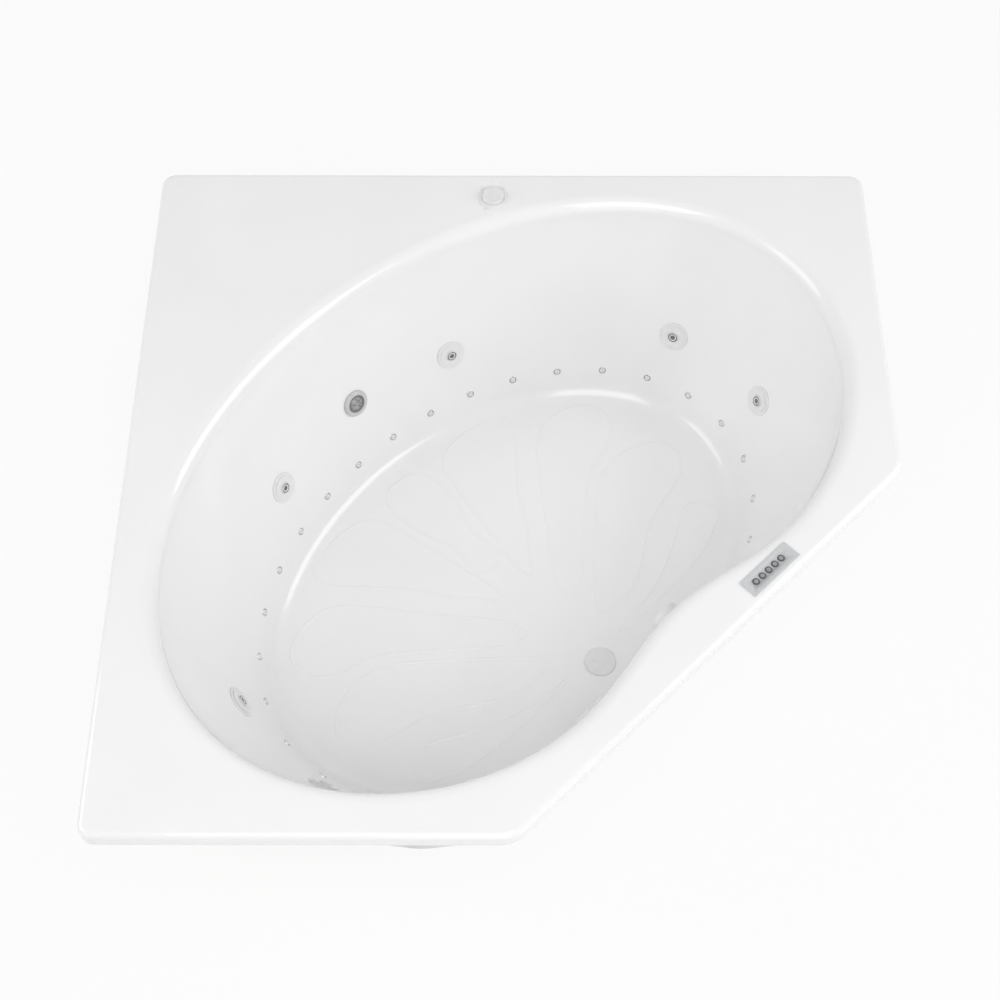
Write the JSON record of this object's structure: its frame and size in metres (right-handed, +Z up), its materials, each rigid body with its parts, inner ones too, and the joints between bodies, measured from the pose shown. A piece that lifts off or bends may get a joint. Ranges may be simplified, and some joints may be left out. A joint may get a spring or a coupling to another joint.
{
  "type": "jetted corner bath",
  "caption": "Corner bath with a cut front corner: oval basin, water jets, air injectors, deck keypad and air knob, light, overflow that lifts the drain stopper, pump and blower below.",
  "frame": {"origin": "on the room's floor, under the middle of the deck's square", "axes": "+Z up; the cut corner points between +X and -Y, the back corner between -X and +Y"},
  "size_m": [1.524, 1.524, 0.595],
  "materials": {
    "acrylic": "glossy white acrylic",
    "trim": "satin white plastic",
    "chrome": "polished chrome",
    "silver": "satin silver",
    "button": "dark satin plastic",
    "lens": "ribbed grey lens",
    "pvc": "white pipe plastic",
    "hose": "translucent pale hose",
    "grey_plastic": "matt grey plastic",
    "dark_plastic": "matt black plastic",
    "motor_paint": "dark paint",
    "steel": "ground steel",
    "plywood": "bare plywood",
    "timber": "planed softwood"
  },
  "bodies": {
    "bath": {"air_control_body": "pvc", "air_control_collar": "trim", "air_hoses": "hose", "air_injector_bodies": "pvc", "air_injector_caps": "trim", "air_injector_rings": "chrome", "air_manifold": "pvc", "base_board": "plywood", "base_runners": "timber", "blower_housing": "dark_plastic", "blower_motor": "motor_paint", "blower_pipe": "pvc", "check_valve": "grey_plastic", "control_box": "grey_plastic", "drain_flange": "chrome", "drain_shoe": "pvc", "jet_bodies": "pvc", "jet_wall_fittings": "trim", "keypad_base": "dark_plastic", "keypad_plate": "silver", "light_bezel": "chrome", "light_body": "dark_plastic", "light_lens": "lens", "motor_fan_cover": "dark_plastic", "overflow_body": "pvc", "pump_cradle": "grey_plastic", "pump_motor": "motor_paint", "pump_volute": "dark_plastic", "rim_battens": "plywood", "suction_body": "pvc", "suction_cover": "chrome", "suction_pipe": "pvc", "tub_shell": "acrylic", "union_nuts": "grey_plastic", "venturi_pipe": "pvc", "waste_pipes": "pvc", "water_manifold": "pvc"},
    "air_control_knob": {"air_control_knob": "trim"},
    "blower_fan": {"blower_fan": "dark_plastic"},
    "drain_stopper": {"drain_stopper": "trim"},
    "jet_face_1": {"jet_face_1": "trim"},
    "jet_face_2": {"jet_face_2": "trim"},
    "jet_face_3": {"jet_face_3": "trim"},
    "jet_face_4": {"jet_face_4": "trim"},
    "jet_face_5": {"jet_face_5": "trim"},
    "jet_face_6": {"jet_face_6": "trim"},
    "jet_nozzle_1": {"jet_nozzle_1": "chrome"},
    "jet_nozzle_2": {"jet_nozzle_2": "chrome"},
    "jet_nozzle_3": {"jet_nozzle_3": "chrome"},
    "jet_nozzle_4": {"jet_nozzle_4": "chrome"},
    "jet_nozzle_5": {"jet_nozzle_5": "chrome"},
    "jet_nozzle_6": {"jet_nozzle_6": "chrome"},
    "keypad_button_1": {"keypad_button_1": "button"},
    "keypad_button_2": {"keypad_button_2": "button"},
    "keypad_button_3": {"keypad_button_3": "button"},
    "keypad_button_4": {"keypad_button_4": "button"},
    "keypad_button_5": {"keypad_button_5": "button"},
    "overflow_plate": {"overflow_plate": "chrome"},
    "pump_rotor": {"pump_impeller": "grey_plastic", "pump_shaft": "steel"}
  },
  "joints": [
    {"name": "jet_face_1_turn", "type": "hinge", "parent": "bath", "child": "jet_face_1", "pos_m": [0.54433, 0.36612, 0.28743], "axis": [-0.821, -0.3766, 0.4291], "range_deg": [0, 100]},
    {"name": "jet_nozzle_1_tilt", "type": "hinge", "parent": "jet_face_1", "child": "jet_nozzle_1", "pos_m": [0.54597, 0.36688, 0.28657], "axis": [0.4169, -0.9089, 0], "range_deg": [-10, 10]},
    {"name": "jet_face_2_turn", "type": "hinge", "parent": "bath", "child": "jet_face_2", "pos_m": [0.36538, 0.54327, 0.28809], "axis": [-0.3679, -0.8232, 0.4324], "range_deg": [0, 100]},
    {"name": "jet_nozzle_2_tilt", "type": "hinge", "parent": "jet_face_2", "child": "jet_nozzle_2", "pos_m": [0.36611, 0.54492, 0.28723], "axis": [0.913, -0.4081, 0], "range_deg": [-10, 10]},
    {"name": "jet_face_3_turn", "type": "hinge", "parent": "bath", "child": "jet_face_3", "pos_m": [-0.1379, 0.49037, 0.28846], "axis": [0.4458, -0.8116, 0.3776], "range_deg": [0, 100]},
    {"name": "jet_nozzle_3_tilt", "type": "hinge", "parent": "jet_face_3", "child": "jet_nozzle_3", "pos_m": [-0.13879, 0.492, 0.28771], "axis": [0.8765, 0.4814, 0], "range_deg": [-10, 10]},
    {"name": "jet_face_4_turn", "type": "hinge", "parent": "bath", "child": "jet_face_4", "pos_m": [-0.49037, 0.1379, 0.28846], "axis": [0.8116, -0.4458, 0.3776], "range_deg": [0, 100]},
    {"name": "jet_nozzle_4_tilt", "type": "hinge", "parent": "jet_face_4", "child": "jet_nozzle_4", "pos_m": [-0.492, 0.13879, 0.28771], "axis": [0.4814, 0.8765, 0], "range_deg": [-10, 10]},
    {"name": "jet_face_5_turn", "type": "hinge", "parent": "bath", "child": "jet_face_5", "pos_m": [-0.54327, -0.36538, 0.28809], "axis": [0.8232, 0.3679, 0.4325], "range_deg": [0, 100]},
    {"name": "jet_nozzle_5_tilt", "type": "hinge", "parent": "jet_face_5", "child": "jet_nozzle_5", "pos_m": [-0.54492, -0.36611, 0.28723], "axis": [-0.408, 0.913, 0], "range_deg": [-10, 10]},
    {"name": "jet_face_6_turn", "type": "hinge", "parent": "bath", "child": "jet_face_6", "pos_m": [-0.36612, -0.54433, 0.28743], "axis": [0.3766, 0.821, 0.4291], "range_deg": [0, 100]},
    {"name": "jet_nozzle_6_tilt", "type": "hinge", "parent": "jet_face_6", "child": "jet_nozzle_6", "pos_m": [-0.36688, -0.54597, 0.28657], "axis": [-0.9089, 0.417, 0], "range_deg": [-10, 10]},
    {"name": "keypad_button_1_press", "type": "slide", "parent": "bath", "child": "keypad_button_1", "axis": [0, 0, -1], "range_m": [0, 0.001], "stiffness_N_per_m": 300},
    {"name": "keypad_button_2_press", "type": "slide", "parent": "bath", "child": "keypad_button_2", "axis": [0, 0, -1], "range_m": [0, 0.001], "stiffness_N_per_m": 300},
    {"name": "keypad_button_3_press", "type": "slide", "parent": "bath", "child": "keypad_button_3", "axis": [0, 0, -1], "range_m": [0, 0.001], "stiffness_N_per_m": 300},
    {"name": "keypad_button_4_press", "type": "slide", "parent": "bath", "child": "keypad_button_4", "axis": [0, 0, -1], "range_m": [0, 0.001], "stiffness_N_per_m": 300},
    {"name": "keypad_button_5_press", "type": "slide", "parent": "bath", "child": "keypad_button_5", "axis": [0, 0, -1], "range_m": [0, 0.001], "stiffness_N_per_m": 300},
    {"name": "air_control_turn", "type": "hinge", "parent": "bath", "child": "air_control_knob", "pos_m": [-0.04264, 0.69091, 0.584], "axis": [0, 0, 1], "range_deg": [0, 270]},
    {"name": "overflow_turn", "type": "hinge", "parent": "bath", "child": "overflow_plate", "pos_m": [0.2985, -0.2985, 0.50389], "axis": [-0.7071, 0.7071, 0], "range_deg": [0, 90]},
    {"name": "stopper_lift", "type": "slide", "parent": "bath", "child": "drain_stopper", "axis": [0, 0, 1], "range_m": [0, 0.01]},
    {"name": "pump_spin", "type": "hinge", "parent": "bath", "child": "pump_rotor", "pos_m": [-0.4773, 0.54094, 0.168], "axis": [-0.7071, -0.7071, 0], "continuous": true},
    {"name": "blower_spin", "type": "hinge", "parent": "bath", "child": "blower_fan", "pos_m": [0.4681, 0.65902, 0.1], "axis": [0, 0, 1], "continuous": true}
  ],
  "couplings": [
    {"joint": "stopper_lift", "follows": "overflow_turn", "m_per_rad": 0.006366}
  ]
}
